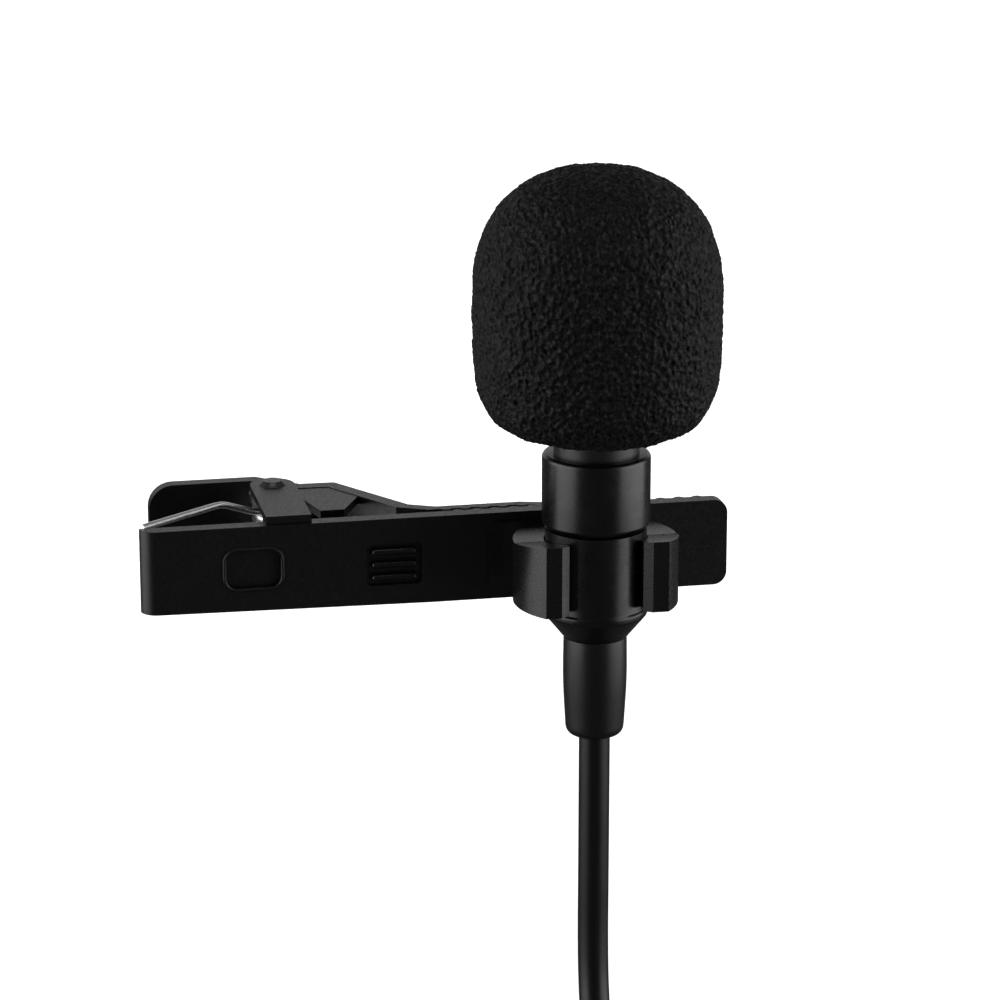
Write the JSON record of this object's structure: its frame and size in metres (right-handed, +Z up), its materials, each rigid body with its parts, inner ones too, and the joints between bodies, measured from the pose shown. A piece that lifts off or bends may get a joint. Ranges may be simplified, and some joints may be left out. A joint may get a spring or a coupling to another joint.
{
  "type": "lavalier microphone",
  "caption": "Small clip-on microphone: foam windscreen on a turned barrel, held by a slotted collar on a sprung tie clip, with a thin cable and a jack plug.",
  "frame": {"origin": "centre of the closed jaws, where the garment is gripped", "axes": "+Z up along the microphone's axis towards the windscreen, -Y out from the wearer towards the microphone, +X towards the jaw's tip"},
  "size_m": [0.0524, 0.0289, 0.1908],
  "materials": {
    "clip": "satin, fine grain",
    "holder": "satin gloss",
    "steel": "plain steel",
    "spring_steel": "bright drawn wire",
    "housing": "satin black",
    "grille": "satin black",
    "mesh": "fine woven mesh",
    "rubber": "matt",
    "can": "drawn",
    "brass": "gilt",
    "film": "metallised film",
    "white_plastic": "moulded",
    "black_plastic": "moulded",
    "board": "solder mask",
    "red_lead": "insulated wire",
    "copper_lead": "bare stranded wire",
    "cable": "satin matt",
    "relief": "matt",
    "tie": "hook and loop",
    "plug_shell": "satin black",
    "contact": "nickel plated",
    "foam": "open-cell foam"
  },
  "bodies": {
    "clip_front": {"clip_front_arm": "clip", "mic_holder": "holder", "holder_rivet": "steel", "hinge_pin": "steel", "torsion_spring": "spring_steel"},
    "clip_rear": {"clip_rear_arm": "clip"},
    "microphone": {"housing_barrel": "housing", "housing_base": "housing", "grille_cap": "grille", "dust_mesh": "mesh", "capsule_boot": "rubber", "capsule_can": "can", "diaphragm_ring": "brass", "diaphragm": "film", "diaphragm_spacer": "white_plastic", "backplate": "brass", "gate_ring": "white_plastic", "transistor": "black_plastic", "capsule_board": "board", "signal_lead": "red_lead", "shield_lead": "copper_lead", "housing_seal": "rubber", "cable_lead_in": "cable", "cable_crimp": "steel", "strain_relief": "relief", "cable": "cable", "cable_hank": "cable", "cable_tie": "tie", "cable_tail": "cable", "plug_boot": "relief", "plug_shell": "plug_shell", "plug_body": "white_plastic", "plug_sleeve": "contact", "plug_rear_insulator": "black_plastic", "plug_ring": "contact", "plug_front_insulator": "black_plastic", "plug_tip": "contact"},
    "windscreen": {"foam_windscreen": "foam"}
  },
  "joints": [
    {"name": "jaw_open", "type": "hinge", "parent": "clip_front", "child": "clip_rear", "pos_m": [-0.0234, 0.0077, 0], "axis": [0, 0, 1], "range_deg": [0, 30], "stiffness_Nm_per_rad": 0.12, "springref_deg": -34.38, "deforming": ["torsion_spring"]},
    {"name": "mic_turn", "type": "hinge", "parent": "clip_front", "child": "microphone", "pos_m": [0, -0.0068, 0], "axis": [0, 0, 1], "range_deg": [-180, 180]},
    {"name": "windscreen_pull", "type": "slide", "parent": "microphone", "child": "windscreen", "axis": [0, 0, 1], "range_m": [0, 0.012]}
  ]
}
